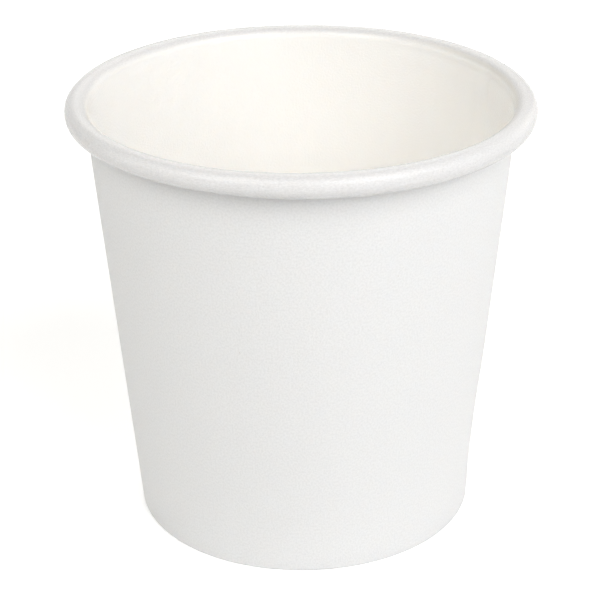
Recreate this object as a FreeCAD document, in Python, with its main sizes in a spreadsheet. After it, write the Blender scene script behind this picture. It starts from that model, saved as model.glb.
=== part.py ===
import FreeCAD, Part
import Sketcher
import math
import os

# A small paper cup: a tapered wall of coated board with a rolled rim, and a base held in a folded
# foot. Lengths in mm, angles in degrees. The origin is the centre of the foot on the table, and +Z
# is the cup's own axis, towards the mouth. The camera of the reference stands on the -Y side.

# Driving sizes: name, value, meaning
SIZES = [
    ("rim_diameter", 62.0, "outside of the rolled rim"),
    ("foot_diameter", 45.8, "outside of the wall, carried down to the table"),
    ("cup_height", 59.15, "table to the top of the rolled rim"),
    ("roll_diameter", 3.0, "thickness of the rolled rim"),
    ("roll_gap", 0.05, "air between the turns of the roll"),
    ("tail_turn", 60.0, "angle that the board's edge runs on inside the roll"),
    ("wall_board", 0.3, "thickness of the wall's board"),
    ("base_board", 0.26, "thickness of the base's board"),
    ("seal_film", 0.02, "melted coating between two glued boards"),
    ("hem_height", 4.8, "length of the hem, from the fold to its cut edge"),
    ("hem_clearance", 0.45, "hem's cut edge to the underside of the base"),
    ("heel_press", 0.05, "depth to which the fold is pressed flat on the table"),
    ("base_bend", 0.6, "outer radius of the bend between base and skirt"),
    ("lap_width", 5.5, "width of the glued side lap, at the rim"),
    ("lap_ramp", 3.0, "width over which the outer layer climbs on the inner one, at the rim"),
    ("seam_azimuth", 22.6, "direction of the inner cut edge of the lap, from +X towards +Y"),
]

doc = FreeCAD.newDocument("paper_cup")
sheet = doc.addObject("Spreadsheet::Sheet", "Sizes")
for row, (alias, value, meaning) in enumerate(SIZES, start=1):
    sheet.set(f"A{row}", meaning)
    sheet.set(f"B{row}", str(value))
    sheet.setAlias(f"B{row}", alias)
doc.recompute()

# Sizes that follow from the driving ones. The wall's outside runs through the foot circle and is
# tangent to the inside of the roll, which fixes its lean. The fold wraps the skirt with a film of
# coating on each side. Where two layers fold, the lift keeps the outer one from being pressed away.
FITS = {
    "roll_radius": "Sizes.roll_diameter / 2",
    "roll_centre_x": "Sizes.rim_diameter / 2 - Fits.roll_radius",
    "roll_centre_z": "Sizes.cup_height - Fits.roll_radius",
    "flare": "Fits.roll_centre_x - Sizes.foot_diameter / 2",
    "lean": "(atan2(Fits.flare; Fits.roll_centre_z)"
            " - asin((Fits.roll_radius - Sizes.wall_board) / hypot(Fits.flare; Fits.roll_centre_z)))"
            " / 1 deg",
    "roll_pitch": "Sizes.wall_board + Sizes.roll_gap",
    "fold_radius": "Sizes.base_board / 2 + Sizes.seal_film",
    "fold_height": "Fits.fold_radius + Sizes.wall_board - Sizes.heel_press",
    "fold_lift": "Sizes.wall_board - Sizes.heel_press",
    "hem_top": "Fits.fold_height + Sizes.hem_height * cos(Fits.lean * 1 deg)",
    "base_height": "Fits.hem_top + Sizes.hem_clearance + Sizes.base_board",
    "skirt_foot": "Sizes.foot_diameter / 2 + Fits.fold_height * tan(Fits.lean * 1 deg)"
                  " - (Sizes.wall_board + Sizes.seal_film) / cos(Fits.lean * 1 deg)",
    "lap_angle": "Sizes.lap_width / Sizes.rim_diameter * 360 / pi",
    "ramp_angle": "Sizes.lap_ramp / Sizes.rim_diameter * 360 / pi",
}
fits = doc.addObject("App::VarSet", "Fits")
for name in FITS:
    fits.addProperty("App::PropertyFloat", name)
for name, formula in FITS.items():
    fits.setExpression(name, formula)
doc.recompute()

LEAN = math.radians(fits.lean)
UP_WALL = FreeCAD.Vector(math.sin(LEAN), math.cos(LEAN), 0)
INTO_CUP = FreeCAD.Vector(-math.cos(LEAN), math.sin(LEAN), 0)
ROLL_CENTRE = FreeCAD.Vector(fits.roll_centre_x, fits.roll_centre_z, 0)


def beside_wall(inward, up):
    """Point of the section, measured from the roll's centre across and along the wall."""
    return ROLL_CENTRE + INTO_CUP * inward + UP_WALL * up


def up_at_height(inward, height):
    """How far along the wall a point at this height and this distance across it lies."""
    return (height - ROLL_CENTRE.y - inward * INTO_CUP.y) / UP_WALL.y


def origin_feature(body, role):
    return next(item for item in body.Origin.OriginFeatures if item.Role == role)


def section_sketch(body, name, azimuth):
    """Sketch in the half plane through the cup's axis that faces the given azimuth."""
    sketch = body.newObject("Sketcher::SketchObject", name)
    sketch.AttachmentSupport = [(origin_feature(body, "XZ_Plane"), "")]
    sketch.MapMode = "FlatFace"
    turned = FreeCAD.Rotation(FreeCAD.Vector(0, 1, 0), 1)
    sketch.AttachmentOffset = FreeCAD.Placement(FreeCAD.Vector(), turned)
    sketch.setExpression("AttachmentOffset.Rotation.Angle", azimuth)
    return sketch


def add_line(sketch, start, end, construction=False):
    """Line, as its index and the numbers of its first and last point."""
    return sketch.addGeometry(Part.LineSegment(start, end), construction), 1, 2


def add_arc(sketch, centre, start, end, clockwise):
    """Arc, as its index and the numbers of its first and last point on the way from start to end."""
    low, high = (end, start) if clockwise else (start, end)
    circle = Part.Circle(centre, FreeCAD.Vector(0, 0, 1), (start - centre).Length)
    angles = [math.atan2(point.y - centre.y, point.x - centre.x) for point in (low, high)]
    index = sketch.addGeometry(Part.ArcOfCircle(circle, *angles), False)
    return (index, 2, 1) if clockwise else (index, 1, 2)


def join(sketch, kind, before, after):
    """Ties the last point of one edge to the first point of the next."""
    sketch.addConstraint(Sketcher.Constraint(kind, before[0], before[2], after[0], after[1]))


def share_centre(sketch, arc, *others):
    for other in others:
        sketch.addConstraint(Sketcher.Constraint("Coincident", arc[0], 3, other[0], 3))


def drive(sketch, name, formula, kind, *where):
    """Dimension of the sketch, bound to a formula."""
    index = sketch.addConstraint(Sketcher.Constraint(kind, *where))
    sketch.renameConstraint(index, name)
    sketch.setExpression(f"Constraints.{name}", formula)


def board_section(body, name, azimuth, layers_under):
    """Section of the wall's board, from the hem's cut edge to the tail of the roll.

    The face is the coated side: the inside of the cup and the outside of the roll. The back lies one
    board away. In the lap the outer layer rides on layers_under = 1 boards.
    """
    board = sheet.wall_board
    under = layers_under * board
    pitch = fits.roll_pitch
    outer = fits.roll_radius - under
    tail = math.radians(sheet.tail_turn)
    along_tail = INTO_CUP * math.cos(tail) + UP_WALL * math.sin(tail)
    tuck_centre = ROLL_CENTRE - UP_WALL * pitch
    fold_inward = fits.roll_radius + fits.fold_radius
    fold_up = up_at_height(fold_inward, fits.fold_height + layers_under * fits.fold_lift)
    fold_centre = beside_wall(fold_inward, fold_up)
    hem_up = up_at_height(fold_inward, fits.fold_height) + sheet.hem_height

    def side(depth):
        """Corners of one side of the board, this deep behind the face."""
        roll = outer - depth
        fold = fits.fold_radius + under + depth
        return {
            "hem end": beside_wall(fold_inward + fold, hem_up),
            "hem foot": beside_wall(fold_inward + fold, fold_up),
            "wall foot": beside_wall(roll, fold_up),
            "wall top": beside_wall(roll, 0),
            "roll foot": beside_wall(0, -roll),
            "tuck end": beside_wall(roll - pitch, -pitch),
            "tail start": beside_wall(roll - pitch, 0),
            "tail end": ROLL_CENTRE + along_tail * (roll - pitch),
        }

    face = side(0)
    back = side(board)
    sketch = section_sketch(body, name, azimuth)

    hem = add_line(sketch, face["hem end"], face["hem foot"])
    fold = add_arc(sketch, fold_centre, face["hem foot"], face["wall foot"], False)
    wall = add_line(sketch, face["wall foot"], face["wall top"])
    roll = add_arc(sketch, ROLL_CENTRE, face["wall top"], face["roll foot"], True)
    tuck = add_arc(sketch, tuck_centre, face["roll foot"], face["tuck end"], True)
    rise = add_line(sketch, face["tuck end"], face["tail start"])
    tail = add_arc(sketch, ROLL_CENTRE, face["tail start"], face["tail end"], True)
    tail_cut = add_line(sketch, face["tail end"], back["tail end"])
    tail_back = add_arc(sketch, ROLL_CENTRE, back["tail end"], back["tail start"], False)
    rise_back = add_line(sketch, back["tail start"], back["tuck end"])
    tuck_back = add_arc(sketch, tuck_centre, back["tuck end"], back["roll foot"], False)
    roll_back = add_arc(sketch, ROLL_CENTRE, back["roll foot"], back["wall top"], False)
    wall_back = add_line(sketch, back["wall top"], back["wall foot"])
    fold_back = add_arc(sketch, fold_centre, back["wall foot"], back["hem foot"], True)
    hem_back = add_line(sketch, back["hem foot"], back["hem end"])
    hem_cut = add_line(sketch, back["hem end"], face["hem end"])

    smooth = [hem, fold, wall, roll, tuck, rise, tail]
    smooth_back = [tail_back, rise_back, tuck_back, roll_back, wall_back, fold_back, hem_back]
    for run in (smooth, smooth_back):
        for before, after in zip(run, run[1:]):
            join(sketch, "Tangent", before, after)
    for before, after in ((tail, tail_cut), (tail_cut, tail_back), (hem_back, hem_cut), (hem_cut, hem)):
        join(sketch, "Coincident", before, after)
    share_centre(sketch, roll, roll_back, tail, tail_back)
    share_centre(sketch, tuck, tuck_back)
    share_centre(sketch, fold, fold_back)
    sketch.addConstraint(Sketcher.Constraint("Parallel", hem[0], wall[0]))
    sketch.addConstraint(Sketcher.Constraint("Parallel", hem_back[0], wall[0]))
    sketch.addConstraint(Sketcher.Constraint("Perpendicular", hem_cut[0], hem[0]))

    joint = add_line(sketch, ROLL_CENTRE, face["roll foot"], True)
    sketch.addConstraint(Sketcher.Constraint("Coincident", joint[0], 1, roll[0], 3))
    sketch.addConstraint(Sketcher.Constraint("Coincident", joint[0], 2, roll[0], roll[2]))
    sketch.addConstraint(Sketcher.Constraint("Parallel", joint[0], wall[0]))
    spoke = add_line(sketch, ROLL_CENTRE, face["tail end"], True)
    sketch.addConstraint(Sketcher.Constraint("Coincident", spoke[0], 1, roll[0], 3))
    sketch.addConstraint(Sketcher.Constraint("Coincident", spoke[0], 2, tail[0], tail[2]))
    sketch.addConstraint(Sketcher.Constraint("PointOnObject", tail_back[0], tail_back[1], spoke[0]))

    face_radius = f"Fits.roll_radius - {layers_under} * Sizes.wall_board"
    fold_radius = f"Fits.fold_radius + {layers_under} * Sizes.wall_board"
    fold_height = f"Fits.fold_height + {layers_under} * Fits.fold_lift"
    hem_length = f"Sizes.hem_height - {layers_under} * Fits.fold_lift / cos(Fits.lean * 1 deg)"
    drive(sketch, "roll_centre_x", "Fits.roll_centre_x", "DistanceX", -1, 1, roll[0], 3, ROLL_CENTRE.x)
    drive(sketch, "roll_centre_z", "Fits.roll_centre_z", "DistanceY", -1, 1, roll[0], 3, ROLL_CENTRE.y)
    drive(sketch, "fold_height", fold_height, "DistanceY", -1, 1, fold[0], 3, fold_centre.y)
    drive(sketch, "wall_slope", "90 - Fits.lean", "Angle", wall[0], math.pi / 2 - LEAN)
    drive(sketch, "hem_length", hem_length, "Distance", hem[0], hem_up - fold_up)
    drive(sketch, "roll_face", face_radius, "Radius", roll[0], outer)
    drive(sketch, "roll_back", f"{face_radius} - Sizes.wall_board", "Radius", roll_back[0], outer - board)
    drive(sketch, "tuck_face", f"{face_radius} - Fits.roll_pitch", "Radius", tuck[0], outer - pitch)
    drive(sketch, "tail_face", f"{face_radius} - Fits.roll_pitch", "Radius", tail[0], outer - pitch)
    drive(sketch, "tail_back", f"{face_radius} - Fits.roll_pitch - Sizes.wall_board", "Radius",
          tail_back[0], outer - pitch - board)
    drive(sketch, "fold_face", fold_radius, "Radius", fold[0], fits.fold_radius + under)
    drive(sketch, "fold_back", f"{fold_radius} + Sizes.wall_board", "Radius", fold_back[0],
          fits.fold_radius + under + board)
    drive(sketch, "tail_slope", "180 - Fits.lean - Sizes.tail_turn", "Angle", spoke[0],
          math.atan2(along_tail.y, along_tail.x))
    return sketch


def revolve(body, name, sketch, angle):
    """Turns a section about the cup's axis, from its own azimuth onwards."""
    turn = body.newObject("PartDesign::Revolution", name)
    turn.Profile = sketch
    turn.ReferenceAxis = (origin_feature(body, "Z_Axis"), [""])
    turn.setExpression("Angle", angle)
    body.Tip = turn
    doc.recompute()
    return turn


# Side wall. The blank starts at its inner cut edge, goes once round the cup, climbs on its own
# start over the ramp and ends as the outer layer of the lap.
RAMP_START = "Sizes.seam_azimuth + Fits.ramp_angle"
LAP_START = "Sizes.seam_azimuth - Fits.lap_angle"

side_wall = doc.addObject("PartDesign::Body", "side_wall")
round_section = board_section(side_wall, "round_section", RAMP_START, 0)
revolve(side_wall, "once_round", round_section, "360 - Fits.ramp_angle")

ramp_section = board_section(side_wall, "ramp_section", RAMP_START, 0)
seam_section = board_section(side_wall, "seam_section", "Sizes.seam_azimuth", 1)
ramp = side_wall.newObject("PartDesign::AdditiveLoft", "ramp")
ramp.Profile = ramp_section
ramp.Sections = [seam_section]
ramp.Ruled = True
side_wall.Tip = ramp
doc.recompute()

lap_section = board_section(side_wall, "lap_section", LAP_START, 1)
revolve(side_wall, "outer_lap", lap_section, "Fits.lap_angle")

# The fold is pressed flat where the cup stands, so nothing is left below the table.
table = side_wall.newObject("Sketcher::SketchObject", "table")
table.AttachmentSupport = [(origin_feature(side_wall, "XY_Plane"), "")]
table.MapMode = "FlatFace"
reach = sheet.rim_diameter / 2
circle = table.addGeometry(Part.Circle(FreeCAD.Vector(), FreeCAD.Vector(0, 0, 1), reach), False)
table.addConstraint(Sketcher.Constraint("Coincident", circle, 3, -1, 1))
drive(table, "reach", "Sizes.rim_diameter / 2", "Radius", circle, reach)
foot_flat = side_wall.newObject("PartDesign::Pocket", "foot_flat")
foot_flat.Profile = table
foot_flat.setExpression("Length", "2 * Sizes.wall_board")
side_wall.Tip = foot_flat
doc.recompute()

# Base. Its skirt lies against the inside of the wall, one film of coating away, and ends in the
# fold. The bend between them has one centre for both faces of the board.
base_disc = doc.addObject("PartDesign::Body", "base_disc")
base_section = section_sketch(base_disc, "base_section", "0")
SKIRT_OUTER = fits.roll_radius + sheet.seal_film
SKIRT_INNER = SKIRT_OUTER + sheet.base_board
bend_inward = SKIRT_OUTER + sheet.base_bend
bend_centre = beside_wall(bend_inward, up_at_height(bend_inward, fits.base_height - sheet.base_bend))
skirt_end = beside_wall(SKIRT_OUTER, up_at_height(SKIRT_OUTER, fits.fold_height))
skirt_inner_end = skirt_end + INTO_CUP * sheet.base_board
to_top = FreeCAD.Vector(0, 1, 0)
inner_bend = sheet.base_bend - sheet.base_board
top_centre = FreeCAD.Vector(0, fits.base_height, 0)
under_centre = top_centre - to_top * sheet.base_board

top = add_line(base_section, top_centre, bend_centre + to_top * sheet.base_bend)
bend = add_arc(base_section, bend_centre, bend_centre + to_top * sheet.base_bend,
               bend_centre - INTO_CUP * sheet.base_bend, True)
skirt = add_line(base_section, bend_centre - INTO_CUP * sheet.base_bend, skirt_end)
skirt_cut = add_line(base_section, skirt_end, skirt_inner_end)
skirt_back = add_line(base_section, skirt_inner_end, bend_centre - INTO_CUP * inner_bend)
bend_back = add_arc(base_section, bend_centre, bend_centre - INTO_CUP * inner_bend,
                    bend_centre + to_top * inner_bend, False)
under = add_line(base_section, bend_centre + to_top * inner_bend, under_centre)
axis = add_line(base_section, under_centre, top_centre)

for before, after in ((top, bend), (bend, skirt), (skirt_back, bend_back), (bend_back, under)):
    join(base_section, "Tangent", before, after)
for before, after in ((skirt, skirt_cut), (skirt_cut, skirt_back), (under, axis), (axis, top)):
    join(base_section, "Coincident", before, after)
share_centre(base_section, bend, bend_back)
base_section.addConstraint(Sketcher.Constraint("Horizontal", top[0]))
base_section.addConstraint(Sketcher.Constraint("Horizontal", under[0]))
base_section.addConstraint(Sketcher.Constraint("PointOnObject", axis[0], 1, -2))
base_section.addConstraint(Sketcher.Constraint("PointOnObject", axis[0], 2, -2))
base_section.addConstraint(Sketcher.Constraint("Perpendicular", skirt_cut[0], skirt[0]))
drive(base_section, "height", "Fits.base_height", "DistanceY", -1, 1, top[0], 1, fits.base_height)
drive(base_section, "bend_outer", "Sizes.base_bend", "Radius", bend[0], sheet.base_bend)
drive(base_section, "bend_inner", "Sizes.base_bend - Sizes.base_board", "Radius", bend_back[0], inner_bend)
drive(base_section, "skirt_foot_z", "Fits.fold_height", "DistanceY", -1, 1, skirt[0], 2, fits.fold_height)
drive(base_section, "skirt_foot_x", "Fits.skirt_foot", "DistanceX", -1, 1, skirt[0], 2, skirt_end.x)
drive(base_section, "skirt_slope", "270 - Fits.lean", "Angle", skirt[0], 3 * math.pi / 2 - LEAN)
revolve(base_disc, "drawn_dish", base_section, "360")

faults = [item.Name for item in doc.Objects if "Invalid" in item.State or "Error" in item.State]
if faults:
    raise RuntimeError(f"these objects failed: {faults}")
os.makedirs("parts", exist_ok=True)
for piece in (side_wall, base_disc):
    shape = piece.Shape
    if shape.isNull() or not shape.isValid() or len(shape.Solids) != 1:
        raise RuntimeError(f"{piece.Label} is not one valid solid")
for piece in (side_wall, base_disc):
    piece.Shape.exportStep(f"parts/{piece.Label}.step")
    print(piece.Label, "volume", round(piece.Shape.Volume, 3), "mm3")
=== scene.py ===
import math

import bmesh
import bpy
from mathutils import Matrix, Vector, noise


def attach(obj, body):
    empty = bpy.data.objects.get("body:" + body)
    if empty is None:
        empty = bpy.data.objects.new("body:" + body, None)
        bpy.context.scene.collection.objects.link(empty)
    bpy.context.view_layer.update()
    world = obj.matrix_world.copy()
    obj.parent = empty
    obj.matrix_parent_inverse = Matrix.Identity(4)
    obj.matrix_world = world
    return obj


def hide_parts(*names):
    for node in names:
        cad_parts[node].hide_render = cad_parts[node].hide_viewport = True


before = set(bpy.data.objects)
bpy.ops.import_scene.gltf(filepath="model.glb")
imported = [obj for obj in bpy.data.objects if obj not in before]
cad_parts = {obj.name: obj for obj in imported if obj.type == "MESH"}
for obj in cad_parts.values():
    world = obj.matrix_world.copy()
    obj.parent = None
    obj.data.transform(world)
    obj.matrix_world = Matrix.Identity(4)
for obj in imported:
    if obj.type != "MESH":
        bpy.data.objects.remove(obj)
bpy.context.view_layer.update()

# Wall blank
# One fan-shaped blank of cup board, coated on the side that meets the ice cream. It is wrapped to a
# cone and glued to itself in a side lap, its top edge is rolled outwards into the rim, and its foot
# is folded inwards and up over the skirt of the base.
MM = 0.001
RIM_RADIUS = 31.0
FOOT_RADIUS = 22.9
CUP_HEIGHT = 59.15
BOARD = 0.3
FILM = 0.02
ROLL_RADIUS = 1.5
ROLL_GAP = 0.05
TAIL_TURN = math.radians(60)
BASE_BOARD = 0.26
HEM_HEIGHT = 4.8
HEEL_PRESS = 0.05
SEAM_AZIMUTH = math.radians(22.6)
LAP_ANGLE = 5.5 / RIM_RADIUS
RAMP_ANGLE = 3.0 / RIM_RADIUS
SPIRAL_ANGLE = math.radians(8)
NECK = 2.5
LAP_CRUSH = 0.75
CRUSH_RAMP = 1 / 3
COLUMN_ANGLE = math.radians(0.8)

roll_out = RIM_RADIUS - ROLL_RADIUS
roll_up = CUP_HEIGHT - ROLL_RADIUS
flare = roll_out - FOOT_RADIUS
lean = math.atan2(flare, roll_up) - math.asin((ROLL_RADIUS - BOARD) / math.hypot(flare, roll_up))
inward = Vector((-math.cos(lean), math.sin(lean)))
up_wall = Vector((math.sin(lean), math.cos(lean)))
roll_centre = Vector((roll_out, roll_up))
fold_radius = BASE_BOARD / 2 + FILM
fold_inward = ROLL_RADIUS + fold_radius
single_pitch = BOARD + ROLL_GAP
double_pitch = 2 * (BOARD + FILM) + ROLL_GAP

# Rows of the blank from the hem's cut edge to the tail inside the roll: stretch and number of steps
STRETCHES = [("hem", 10), ("fold", 8), ("wall", 28), ("neck", 7),
             ("roll", 24), ("tuck", 6), ("rise", 1), ("tail", 4)]
ROLLED = ("roll", "tuck", "rise", "tail")


def point_in_section(across, along):
    """Distance from the axis and height of a point measured from the roll's centre."""
    return roll_centre + inward * across + up_wall * along


def along_at_height(across, height):
    return (height - roll_centre.y - across * inward.y) / up_wall.y


def turned(angle):
    """Direction in the section, turned from the cup's axis over the top of the roll."""
    return inward * math.cos(angle) + up_wall * math.sin(angle)


hem_top = along_at_height(fold_inward, fold_radius + BOARD - HEEL_PRESS) + HEM_HEIGHT


def coated_face(stretch, share, under, pitch):
    """Point of the board's coated face, part of the way along one stretch of the section."""
    fold_height = fold_radius + BOARD - HEEL_PRESS + under * (1 - HEEL_PRESS / BOARD)
    fold_up = along_at_height(fold_inward, fold_height)
    roll = ROLL_RADIUS - under
    if stretch == "hem":
        return point_in_section(fold_inward + fold_radius + under, hem_top + share * (fold_up - hem_top))
    if stretch == "fold":
        return point_in_section(fold_inward, fold_up) + turned(-share * math.pi) * (fold_radius + under)
    if stretch == "wall":
        return point_in_section(roll, fold_up - share * (fold_up + NECK))
    if stretch == "neck":
        return point_in_section(roll, -NECK * (1 - share))
    if stretch == "roll":
        return roll_centre + turned(share * 1.5 * math.pi) * roll
    if stretch == "tuck":
        return point_in_section(0, -pitch) + turned((1.5 + share / 2) * math.pi) * (roll - pitch)
    if stretch == "rise":
        return point_in_section(roll - pitch, -pitch * (1 - share))
    return roll_centre + turned(share * TAIL_TURN) * (roll - pitch)


def eased(value):
    """Smooth step from 0 to 1."""
    value = min(max(value, 0), 1)
    return value * value * (3 - 2 * value)


def layers_under(round_angle):
    """How far the board stands off the shape it was wrapped on, at this angle round the blank."""
    return (BOARD + FILM) * min(max((round_angle - math.tau) / RAMP_ANGLE + 1, 0), 1)


def crushed(under, stretch, share):
    """The same height where the curling tool pressed the lap flatter, fully from the roll's top on."""
    if stretch not in ROLLED:
        return under
    return under * (1 - LAP_CRUSH * (eased(share / CRUSH_RAMP) if stretch == "roll" else 1))


def spiral_pitch(round_angle):
    """Spacing of the roll's turns, which is wider where two layers are rolled together."""
    into_start = 1 - eased((round_angle - LAP_ANGLE) / SPIRAL_ANGLE)
    into_end = eased((round_angle - math.tau + RAMP_ANGLE) / RAMP_ANGLE)
    return single_pitch + (double_pitch - single_pitch) * max(into_start, into_end)


# The board springs back unevenly after it is formed, so the cup is a little out of true. Each row
# gives millimetres every 30 degrees from +X round over the back: how far the wall stands outside its
# cone at a height, how far the rim stands above its plane, and how much taller the roll is. The row
# at 57.6 is a slight bead, where the board starts to curl.
OFF_CONE = {
    0: (0.33, 0.23, 0.11, 0.01, -0.06, -0.08, -0.04, 0.14, 0.28, 0.25, 0.22, 0.27),
    8: (-0.02, -0.01, 0, -0.01, -0.01, -0.02, 0, 0.03, 0.07, 0.07, 0.05, 0),
    14: (-0.08, -0.06, -0.03, -0.01, 0.01, 0.02, 0.03, 0.04, 0.04, 0.03, -0.01, -0.05),
    24: (0.05, 0.03, 0.01, 0.01, 0.02, 0.04, 0.06, 0.07, 0.06, 0.05, 0.05, 0.06),
    50: (0.08, 0.04, 0.01, 0, 0.02, 0.06, 0.1, 0.1, 0.08, 0.07, 0.07, 0.08),
    55.5: (-0.09, -0.09, -0.06, -0.05, -0.02, -0.02, -0.02, 0.02, 0.03, 0.04, 0.02, 0.01),
    57.6: (-0.03, -0.03, -0.04, -0.05, -0.02, -0.02, -0.02, 0.02, 0.03, 0.04, 0.02, 0.04),
    58.3: (-0.09, -0.09, -0.06, -0.05, -0.02, -0.02, -0.02, 0.02, 0.03, 0.04, 0.02, 0.01)}
RIM_FROM = 50
RIM_FULL = 55.5
RIM_RISE = (-0.13, -0.08, -0.04, -0.06, -0.01, -0.01, -0.02, -0.03, -0.02, -0.02, -0.02, -0.08)
ROLL_TALLER = (0.12, 0.1, 0.06, -0.04, -0.01, -0.01, -0.03, -0.06, -0.04, 0.06, 0.11, 0.13)

# Two fine things that machines leave: ripples where the roll was curled, and the ridges of the
# knurling wheel that pressed the hem against the skirt.
RIPPLE_DEPTH = 0.03
RIPPLE_ROUND = 5.0
RIPPLE_ALONG = 1.6
RIDGE_HEIGHT = 0.07
RIDGES = 75
roll_length = 1.5 * math.pi * ROLL_RADIUS


def round_the_cup(values, azimuth):
    """Smooth curve through values given at equal steps of azimuth."""
    place = azimuth / math.tau * len(values)
    first = math.floor(place)
    t = place - first
    before, here, after, beyond = (values[(first + step) % len(values)] for step in (-1, 0, 1, 2))
    bend = 2 * before - 5 * here + 4 * after - beyond
    twist = 3 * here - before - 3 * after + beyond
    return here + ((after - before) * t + bend * t * t + twist * t ** 3) / 2


def off_cone(azimuth, height):
    """How far the board stands outside its cone at this place, in mm."""
    heights = list(OFF_CONE)
    height = min(max(height, heights[0]), heights[-1])
    low, high = next(pair for pair in zip(heights, heights[1:]) if height <= pair[1])
    share = eased((height - low) / (high - low))
    lower, higher = (round_the_cup(OFF_CONE[row], azimuth) for row in (low, high))
    return (1 - share) * lower + share * higher


def out_of_true(spot, azimuth, stretch, share):
    """Moves a point of the ideal section to where forming and handling left it."""
    spring = roll_centre + inward * ROLL_RADIUS
    if stretch in ROLLED:
        height = CUP_HEIGHT
        taller = round_the_cup(ROLL_TALLER, azimuth) * (spot.y - spring.y) / ROLL_RADIUS
        around = Vector((math.cos(azimuth), math.sin(azimuth))) * RIM_RADIUS / RIPPLE_ROUND
        ripple_place = Vector((*around, share * roll_length / RIPPLE_ALONG))
        fade = math.sin(share * math.pi) if stretch == "roll" else 0
        ripple = (spot - roll_centre).normalized() * RIPPLE_DEPTH * noise.noise(ripple_place) * fade
        spot = spot + Vector((0, taller)) + ripple
    else:
        height = spot.y
    if stretch == "hem":
        ridge = RIDGE_HEIGHT * (0.5 + 0.5 * math.cos(RIDGES * azimuth))
        spot = spot - Vector((ridge * eased(2 - 2 * share), 0))
    rim_share = eased((height - RIM_FROM) / (RIM_FULL - RIM_FROM))
    return spot + Vector((off_cone(azimuth, height), round_the_cup(RIM_RISE, azimuth) * rim_share))


rows = [(stretch, step / steps) for stretch, steps in STRETCHES for step in range(steps)]
rows.append((STRETCHES[-1][0], 1.0))
columns = round((math.tau + LAP_ANGLE) / COLUMN_ANGLE)

# Distance along the blank from the hem's cut edge to each row, for the pattern of the board
middle_section = [coated_face(stretch, share, 0, single_pitch) for stretch, share in rows]
reach = [0.0]
for here, after in zip(middle_section, middle_section[1:]):
    reach.append(reach[-1] + (after - here).length)
spring_reach = reach[rows.index(("roll", 0.0))]

blank = bmesh.new()
blank_uv = blank.loops.layers.uv.new("blank")
bmesh.ops.create_grid(blank, x_segments=columns, y_segments=len(rows) - 1, size=0.5)
for face in blank.faces:
    face.smooth = True
    for loop in face.loops:
        row = round((loop.vert.co.y + 0.5) * (len(rows) - 1))
        round_angle = (loop.vert.co.x + 0.5) * (math.tau + LAP_ANGLE)
        loop[blank_uv].uv = (round_angle * RIM_RADIUS * MM, reach[row] * MM)
for vert in blank.verts:
    round_angle = (vert.co.x + 0.5) * (math.tau + LAP_ANGLE)
    azimuth = SEAM_AZIMUTH - round_angle
    stretch, share = rows[round((vert.co.y + 0.5) * (len(rows) - 1))]
    under = crushed(layers_under(round_angle), stretch, share)
    spot = coated_face(stretch, share, under, spiral_pitch(round_angle))
    spot = out_of_true(spot, azimuth, stretch, share)
    vert.co = Vector((spot.x * math.cos(azimuth), spot.x * math.sin(azimuth), spot.y)) * MM
blank.normal_update()
middle = min(blank.faces, key=lambda face: abs(face.calc_center_median().z - roll_up * MM / 2))
if middle.normal.dot(middle.calc_center_median().xy.to_3d()) > 0:
    bmesh.ops.reverse_faces(blank, faces=blank.faces)


def piece_from(mesh_data, name, materials):
    """Object of a finished bmesh, at the origin."""
    mesh = bpy.data.meshes.new(name)
    mesh_data.to_mesh(mesh)
    mesh_data.free()
    for material in materials:
        mesh.materials.append(material)
    piece = bpy.data.objects.new(name, mesh)
    bpy.context.collection.objects.link(piece)
    return piece


CRISP_ANGLE = math.radians(40)


def give_thickness(piece, board):
    """Board behind the coated face, pressed flat where it meets the table, with crisp cut edges."""
    shell = piece.modifiers.new("board", "SOLIDIFY")
    shell.thickness = board * MM
    shell.offset = -1
    shell.use_even_offset = True
    shell.material_offset = 1
    shell.material_offset_rim = 2
    solid = bpy.data.meshes.new_from_object(piece.evaluated_get(bpy.context.evaluated_depsgraph_get()))
    piece.modifiers.clear()
    piece.data = solid
    for vert in solid.vertices:
        vert.co.z = max(vert.co.z, 0)
    solid.set_sharp_from_angle(angle=CRISP_ANGLE)


def from_hex(code):
    """Linear colour of an sRGB hex value."""
    parts = [int(code[i:i + 2], 16) / 255 for i in (1, 3, 5)]
    return [p / 12.92 if p <= 0.04045 else ((p + 0.055) / 1.055) ** 2.4 for p in parts] + [1]


def add_node(tree, kind, settings=None, inputs=None):
    """Adds a node, sets its properties, and fills or links its inputs by name or by number."""
    node = tree.nodes.new(kind)
    for name, value in (settings or {}).items():
        setattr(node, name, value)
    for key, value in (inputs or {}).items():
        socket = node.inputs[key] if isinstance(key, int) else next(
            socket for socket in node.inputs if socket.enabled and socket.name == key)
        if isinstance(value, bpy.types.NodeSocket):
            tree.links.new(value, socket)
        else:
            socket.default_value = value
    return node


def new_material(name):
    material = bpy.data.materials.new(name)
    material.use_nodes = True
    material.node_tree.nodes.clear()
    return material, material.node_tree


# Low-density polyethylene on bleached cup board. The melted film fills the grain, so the inside is an
# even soft satin, and the white board behind it spreads the light a little. Curled into the roll, the
# film is stretched over the bent fibres: it shows fine streaks that run round the rim, and carries one
# broken line of light. There it is painted greyer than inside the cup, as painted shade for the roll,
# which gets less light. Beside the lap, where the stiff double board starts to curl, a faint darker
# line is painted in: painted shade in the crease there. Single fibres are too fine to show, so the
# grain and the streaks are drawn coarser, at 0.2 to 0.45 mm.
COAT_COLOUR = "#FDFBF7"
# Painted shade: the darker, warmer line in the crease where the roll starts beside the lap
CREASE_SHADE_COLOUR = "#DFDBD3"
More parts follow.
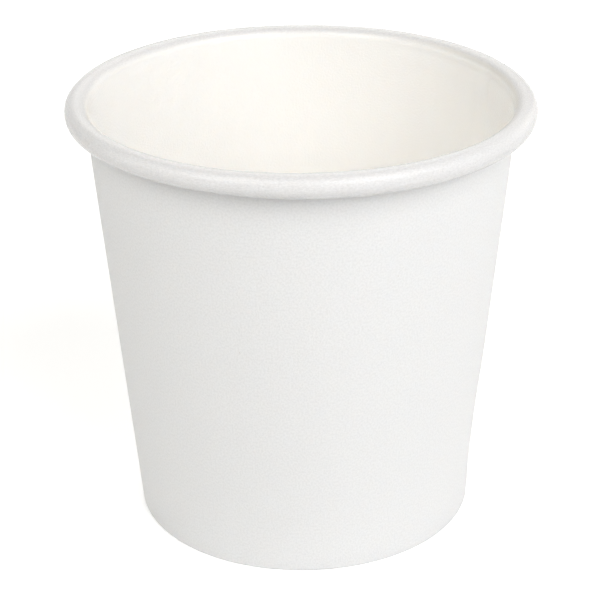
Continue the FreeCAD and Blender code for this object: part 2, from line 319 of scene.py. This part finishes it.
# Painted shade: the film on the roll is greyer than the same film inside the cup
ROLL_SHADE_COLOUR = "#E5E4E4"
STREAK_COLOUR = "#D1D0D0"
COAT_GRAIN = 0.3
COAT_GRAIN_DEPTH = 0.045
CREASE_PLACE = 0.85
CREASE_WIDTH = 1.1
CREASE_SHADE_SHARE = 0.6
CREASE_SPAN = math.radians(30)
CREASE_FADE = math.radians(12)
GREY_FROM = math.radians(-10)
GREY_FULL = math.radians(50)
LIGHT_SPREAD = 0.15
STREAK_LENGTH = 0.45
STREAK_WIDTH = 0.2
STREAK_SLANT = 0.3
STREAK_DEPTH = 0.025
STREAK_LIGHT = 0.62
STREAK_DARK = 0.3

coated, tree = new_material("polyethylene_coated_board")
spot_on_blank = add_node(tree, "ShaderNodeTexCoord").outputs["UV"]
grain = add_node(tree, "ShaderNodeTexNoise", inputs={
    "Vector": spot_on_blank, "Scale": 1 / (COAT_GRAIN * MM), "Detail": 3.0})
slanted = add_node(tree, "ShaderNodeMapping", inputs={
    "Vector": spot_on_blank, "Rotation": (0, 0, STREAK_SLANT),
    "Scale": (1 / (STREAK_LENGTH * MM), 1 / (STREAK_WIDTH * MM), 1)})
streaks = add_node(tree, "ShaderNodeTexNoise", inputs={
    "Vector": slanted.outputs["Vector"], "Scale": 1.0, "Detail": 4.0, "Roughness": 0.85})
along = add_node(tree, "ShaderNodeSeparateXYZ", inputs={"Vector": spot_on_blank})
# Painted shade in the crease: distances folded back at the crease, and half-way round the cup, fall off
# alike on both sides
from_crease = add_node(tree, "ShaderNodeMath", {"operation": "PINGPONG"}, {
    0: along.outputs["Y"], 1: (spring_reach + CREASE_PLACE) * MM})
crease_shade_across = add_node(tree, "ShaderNodeMapRange", {"interpolation_type": "SMOOTHSTEP"}, {
    "Value": from_crease.outputs["Value"],
    "From Min": (spring_reach + CREASE_PLACE - CREASE_WIDTH / 2) * MM,
    "From Max": (spring_reach + CREASE_PLACE) * MM, "To Max": CREASE_SHADE_SHARE})
from_seam = add_node(tree, "ShaderNodeMath", {"operation": "PINGPONG"}, {
    0: along.outputs["X"], 1: math.pi * RIM_RADIUS * MM})
beside_seam = add_node(tree, "ShaderNodeMapRange", {"interpolation_type": "SMOOTHSTEP"}, {
    "Value": from_seam.outputs["Value"], "From Min": (CREASE_SPAN + CREASE_FADE) * RIM_RADIUS * MM,
    "From Max": (CREASE_SPAN - CREASE_FADE) * RIM_RADIUS * MM})
crease_shade_share = add_node(tree, "ShaderNodeMath", {"operation": "MULTIPLY"}, {
    0: crease_shade_across.outputs["Result"], 1: beside_seam.outputs["Result"]})
# Share of the roll: where the film is painted greyer as painted shade, and where its streaks show
roll_shade_and_streaks = add_node(tree, "ShaderNodeMapRange", {"interpolation_type": "SMOOTHSTEP"}, {
    "Value": along.outputs["Y"], "From Min": (spring_reach + ROLL_RADIUS * GREY_FROM) * MM,
    "From Max": (spring_reach + ROLL_RADIUS * GREY_FULL) * MM})
streak_share = add_node(tree, "ShaderNodeMapRange", inputs={
    "Value": streaks.outputs["Fac"], "From Min": STREAK_LIGHT, "From Max": STREAK_DARK})
# Painted shade of the roll, with its streaks
roll_shade_and_streak_tone = add_node(tree, "ShaderNodeMix", {"data_type": "RGBA"}, {
    "Factor": streak_share.outputs["Result"], "A": from_hex(ROLL_SHADE_COLOUR),
    "B": from_hex(STREAK_COLOUR)})
film_tone = add_node(tree, "ShaderNodeMix", {"data_type": "RGBA"}, {
    "Factor": roll_shade_and_streaks.outputs["Result"], "A": from_hex(COAT_COLOUR), "B": roll_shade_and_streak_tone.outputs["Result"]})
# Painted shade of the crease, laid over the film's tone
tone = add_node(tree, "ShaderNodeMix", {"data_type": "RGBA"}, {
    "Factor": crease_shade_share.outputs["Value"], "A": film_tone.outputs["Result"],
    "B": from_hex(CREASE_SHADE_COLOUR)})
film = add_node(tree, "ShaderNodeBump", inputs={
    "Height": grain.outputs["Fac"], "Distance": COAT_GRAIN_DEPTH * MM})
crazed = add_node(tree, "ShaderNodeBump", inputs={
    "Strength": roll_shade_and_streaks.outputs["Result"], "Height": streaks.outputs["Fac"],
    "Distance": STREAK_DEPTH * MM, "Normal": film.outputs["Normal"]})
surface = add_node(tree, "ShaderNodeBsdfPrincipled", inputs={
    "Base Color": tone.outputs["Result"], "Roughness": 0.2, "IOR": 1.5,
    "Subsurface Weight": 0.5, "Subsurface Radius": (1, 0.9, 0.8), "Subsurface Scale": LIGHT_SPREAD * MM,
    "Normal": crazed.outputs["Normal"]})
add_node(tree, "ShaderNodeOutputMaterial", inputs={"Surface": surface.outputs["BSDF"]})

# Bare calendered face of the same board, matt, with the fine pebble of pressed fibres, drawn as
# coarse as the coated side's grain. Here and there a darker fibre from the pulp shows as a speck.
PLAIN_COLOUR = "#E7E7E7"
PEBBLE_SHADE = "#D8D8D8"
SPECK_COLOUR = "#B9AFA6"
PEBBLE = 0.3
PEBBLE_DEPTH = 0.04
PEBBLE_LIGHT = 0.6
PEBBLE_DARK = 0.35
SPECK_SPACING = 2.6
SPECK_WIDTH = 0.12
SPECK_SHARE = 0.12

calendered, tree = new_material("calendered_board")
spot_on_blank = add_node(tree, "ShaderNodeTexCoord").outputs["UV"]
pebble = add_node(tree, "ShaderNodeTexNoise", inputs={
    "Vector": spot_on_blank, "Scale": 1 / (PEBBLE * MM), "Detail": 3.0, "Roughness": 0.6})
shade = add_node(tree, "ShaderNodeMapRange", inputs={
    "Value": pebble.outputs["Fac"], "From Min": PEBBLE_LIGHT, "From Max": PEBBLE_DARK, "To Max": 0.5})
pebbled = add_node(tree, "ShaderNodeMix", {"data_type": "RGBA"}, {
    "Factor": shade.outputs["Result"], "A": from_hex(PLAIN_COLOUR), "B": from_hex(PEBBLE_SHADE)})
cells = add_node(tree, "ShaderNodeTexVoronoi", inputs={
    "Vector": spot_on_blank, "Scale": 1 / (SPECK_SPACING * MM)})
near = add_node(tree, "ShaderNodeMath", {"operation": "LESS_THAN"}, {
    0: cells.outputs["Distance"], 1: SPECK_WIDTH / 2 / SPECK_SPACING})
pick = add_node(tree, "ShaderNodeSeparateColor", inputs={"Color": cells.outputs["Color"]})
chosen = add_node(tree, "ShaderNodeMath", {"operation": "LESS_THAN"}, {
    0: pick.outputs["Red"], 1: SPECK_SHARE})
speck = add_node(tree, "ShaderNodeMath", {"operation": "MULTIPLY"}, {
    0: near.outputs["Value"], 1: chosen.outputs["Value"]})
tone = add_node(tree, "ShaderNodeMix", {"data_type": "RGBA"}, {
    "Factor": speck.outputs["Value"], "A": pebbled.outputs["Result"], "B": from_hex(SPECK_COLOUR)})
fibres = add_node(tree, "ShaderNodeBump", inputs={
    "Height": pebble.outputs["Fac"], "Distance": PEBBLE_DEPTH * MM})
surface = add_node(tree, "ShaderNodeBsdfPrincipled", inputs={
    "Base Color": tone.outputs["Result"], "Roughness": 0.8, "IOR": 1.5,
    "Subsurface Weight": 0.5, "Subsurface Radius": (1, 0.9, 0.8), "Subsurface Scale": LIGHT_SPREAD * MM,
    "Normal": fibres.outputs["Normal"]})
add_node(tree, "ShaderNodeOutputMaterial", inputs={"Surface": surface.outputs["BSDF"]})

# A cut edge of the board shows its layers of loose fibre.
CUT_COLOUR = "#EFEBE2"
FIBRE_COLOUR = "#E2DCCF"
FIBRE = 0.12
FIBRE_DEPTH = 0.05

cut_board, tree = new_material("cut_board_edge")
place = add_node(tree, "ShaderNodeTexCoord").outputs["Object"]
fuzz = add_node(tree, "ShaderNodeTexNoise", inputs={
    "Vector": place, "Scale": 1 / (FIBRE * MM), "Detail": 3.0, "Roughness": 0.7})
tone = add_node(tree, "ShaderNodeMix", {"data_type": "RGBA"}, {
    "Factor": fuzz.outputs["Fac"], "A": from_hex(CUT_COLOUR), "B": from_hex(FIBRE_COLOUR)})
rough = add_node(tree, "ShaderNodeBump", inputs={
    "Height": fuzz.outputs["Fac"], "Distance": FIBRE_DEPTH * MM})
surface = add_node(tree, "ShaderNodeBsdfPrincipled", inputs={
    "Base Color": tone.outputs["Result"], "Roughness": 0.9, "IOR": 1.5, "Normal": rough.outputs["Normal"]})
add_node(tree, "ShaderNodeOutputMaterial", inputs={"Surface": surface.outputs["BSDF"]})

wall = piece_from(blank, "wall_blank", (coated, calendered, cut_board))
give_thickness(wall, BOARD)
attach(wall, "root")
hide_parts("side_wall")

# Base blank
# A round blank of thinner board, coated on top. It is drawn to a shallow dish turned upside down,
# and its skirt stands between the wall and the hem, glued on both sides by the melted coating.
HEM_CLEARANCE = 0.45
BASE_BEND = 0.6
BASE_RINGS = 14
BEND_STEPS = 6
SKIRT_STEPS = 4
BASE_STEPS = 225

base_height = point_in_section(fold_inward, hem_top).y + HEM_CLEARANCE + BASE_BOARD
skirt_across = ROLL_RADIUS + FILM
bend_across = skirt_across + BASE_BEND
bend_centre = point_in_section(bend_across, along_at_height(bend_across, base_height - BASE_BEND))
skirt_foot = along_at_height(skirt_across, fold_radius + BOARD - HEEL_PRESS)
skirt_end = point_in_section(skirt_across, skirt_foot)
bend_turn = math.pi / 2 + lean

outline = [Vector((bend_centre.x * step / BASE_RINGS, base_height)) for step in range(BASE_RINGS)]
for step in range(BEND_STEPS + 1):
    angle = math.pi / 2 - bend_turn * step / BEND_STEPS
    outline.append(bend_centre + Vector((math.cos(angle), math.sin(angle))) * BASE_BEND)
bend_end = outline[-1]
for step in range(1, SKIRT_STEPS + 1):
    outline.append(bend_end.lerp(skirt_end, step / SKIRT_STEPS))
dish = bmesh.new()
dish_uv = dish.loops.layers.uv.new("blank")
run = [dish.verts.new((point.x * MM, 0, point.y * MM)) for point in outline]
edges = [dish.edges.new(pair) for pair in zip(run, run[1:])]
bmesh.ops.spin(dish, geom=run + edges, cent=(0, 0, 0), axis=(0, 0, 1), angle=math.tau,
               steps=BASE_STEPS, use_merge=True)
bmesh.ops.remove_doubles(dish, verts=dish.verts, dist=0.001 * MM)
bmesh.ops.recalc_face_normals(dish, faces=dish.faces)
top_face = max(dish.faces, key=lambda face: face.calc_center_median().z)
if top_face.normal.z < 0:
    bmesh.ops.reverse_faces(dish, faces=dish.faces)
for face in dish.faces:
    face.smooth = True
    for loop in face.loops:
        loop[dish_uv].uv = loop.vert.co.xy
for vert in dish.verts:
    azimuth = math.atan2(vert.co.y, vert.co.x)
    stretched = 1 + off_cone(azimuth, vert.co.z / MM) / skirt_end.x
    vert.co.x *= stretched
    vert.co.y *= stretched
base = piece_from(dish, "base_blank", (coated, calendered, cut_board))
give_thickness(base, BASE_BOARD)
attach(base, "root")
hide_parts("base_disc")

# Floor
# A plain white sheet under the cup, which shows the cup's soft shadow. A little light of its own, for
# the camera and for reflections only, keeps it near white.
FLOOR_HALF = 0.7
FLOOR_COLOUR = "#EDEDED"
FLOOR_LIFT = 0.39

sheet = bmesh.new()
bmesh.ops.create_grid(sheet, x_segments=1, y_segments=1, size=FLOOR_HALF)
paper, tree = new_material("floor_white")
matt = add_node(tree, "ShaderNodeBsdfDiffuse", inputs={"Color": from_hex(FLOOR_COLOUR)})
lift = add_node(tree, "ShaderNodeEmission", inputs={"Strength": FLOOR_LIFT})
lifted = add_node(tree, "ShaderNodeAddShader", inputs={
    0: matt.outputs["BSDF"], 1: lift.outputs["Emission"]})
ray = add_node(tree, "ShaderNodeLightPath")
direct = add_node(tree, "ShaderNodeMath", {"operation": "MAXIMUM"}, {
    0: ray.outputs["Is Camera Ray"], 1: ray.outputs["Is Glossy Ray"]})
seen = add_node(tree, "ShaderNodeMath", {"operation": "MAXIMUM"}, {
    0: direct.outputs["Value"], 1: ray.outputs["Is Transmission Ray"]})
choice = add_node(tree, "ShaderNodeMixShader", inputs={
    0: seen.outputs["Value"], 1: matt.outputs["BSDF"], 2: lifted.outputs["Shader"]})
add_node(tree, "ShaderNodeOutputMaterial", inputs={"Surface": choice.outputs["Shader"]})
floor = piece_from(sheet, "floor", (paper,))

# Light
# An even studio of large soft boxes, whiter in front and a little warmer behind. The surround shows
# white to the camera and in reflections, and lights nothing itself. The low box behind fills the far
# side only, and makes no line of light on the rim.
SURROUND = 0.0
BOX_SIZE = 0.5
BOX_DISTANCE = 0.8
BOX_AIM = Vector((0, 0, 0.03))

world = bpy.data.worlds.new("surround")
bpy.context.scene.world = world
world.use_nodes = True
tree = world.node_tree
tree.nodes.clear()
ray = add_node(tree, "ShaderNodeLightPath")
direct = add_node(tree, "ShaderNodeMath", {"operation": "MAXIMUM"}, {
    0: ray.outputs["Is Camera Ray"], 1: ray.outputs["Is Glossy Ray"]})
seen = add_node(tree, "ShaderNodeMath", {"operation": "MAXIMUM"}, {
    0: direct.outputs["Value"], 1: ray.outputs["Is Transmission Ray"]})
around = add_node(tree, "ShaderNodeBackground", inputs={"Strength": SURROUND})
white = add_node(tree, "ShaderNodeBackground", inputs={"Strength": 1.0})
for background in (around, white):
    background.inputs["Color"].default_value = (1, 1, 1, 1)
choice = add_node(tree, "ShaderNodeMixShader", inputs={
    0: seen.outputs["Value"], 1: around.outputs["Background"], 2: white.outputs["Background"]})
add_node(tree, "ShaderNodeOutputWorld", inputs={"Surface": choice.outputs["Shader"]})


def soft_box(name, azimuth, elevation, power, colour="#FFFFFF"):
    """Square lamp aimed at the cup; azimuth 0 is in front, 90 to the right."""
    lamp = bpy.data.lights.new(name, "AREA")
    lamp.shape = "SQUARE"
    lamp.size = BOX_SIZE
    lamp.energy = power
    lamp.color = from_hex(colour)[:3]
    box = bpy.data.objects.new(name, lamp)
    bpy.context.collection.objects.link(box)
    turn, rise = math.radians(azimuth), math.radians(elevation)
    away = Vector((math.sin(turn) * math.cos(rise), -math.cos(turn) * math.cos(rise), math.sin(rise)))
    box.location = BOX_AIM + away * BOX_DISTANCE
    box.rotation_euler = away.to_track_quat("Z", "Y").to_euler()
    return box


WARM = "#FFFEFA"
WARMER = "#FFFCF5"
soft_box("front_right", 40, 42, 3.28)
soft_box("front", 0, 42, 0.59)
soft_box("low_front", 30, 18, 0.98)
soft_box("low_right", 80, 18, 1.17)
soft_box("front_left", -40, 42, 2.55, WARM)
soft_box("side_left", -80, 42, 0.49, WARM)
soft_box("low_left", -90, 18, 0.73, WARM)
soft_box("back_right", 130, 18, 0.9, WARMER)
soft_box("behind", 180, 42, 1.15, WARMER)
low_behind = soft_box("low_behind", 180, 12, 2.4, WARMER)
low_behind.visible_glossy = False

# Camera
# A long lens from the front, about 25 degrees above the table.
ELEVATION = 0.4369
DISTANCE = 271.5
AIM_HEIGHT = 29.02
FOCAL_PIXELS = 1973.8
FRAME_PIXELS = 600
SENSOR_WIDTH = 36.0
SHIFT_PIXELS = 2.285
CAMERA_ROLL = 0.0059

lens = bpy.data.cameras.new("camera")
lens.sensor_width = SENSOR_WIDTH
lens.lens = FOCAL_PIXELS / FRAME_PIXELS * SENSOR_WIDTH
lens.shift_x = -SHIFT_PIXELS / FRAME_PIXELS
lens.clip_start = 0.01
lens.clip_end = 10
camera = bpy.data.objects.new("camera", lens)
bpy.context.collection.objects.link(camera)
away = Vector((0, -math.cos(ELEVATION), math.sin(ELEVATION)))
camera.location = (away * DISTANCE + Vector((0, 0, AIM_HEIGHT))) * MM
camera.rotation_euler = (math.pi / 2 - ELEVATION, 0, 0)
camera.rotation_euler.rotate_axis("Z", -CAMERA_ROLL)
bpy.context.scene.camera = camera
bpy.context.scene.view_settings.view_transform = "Standard"
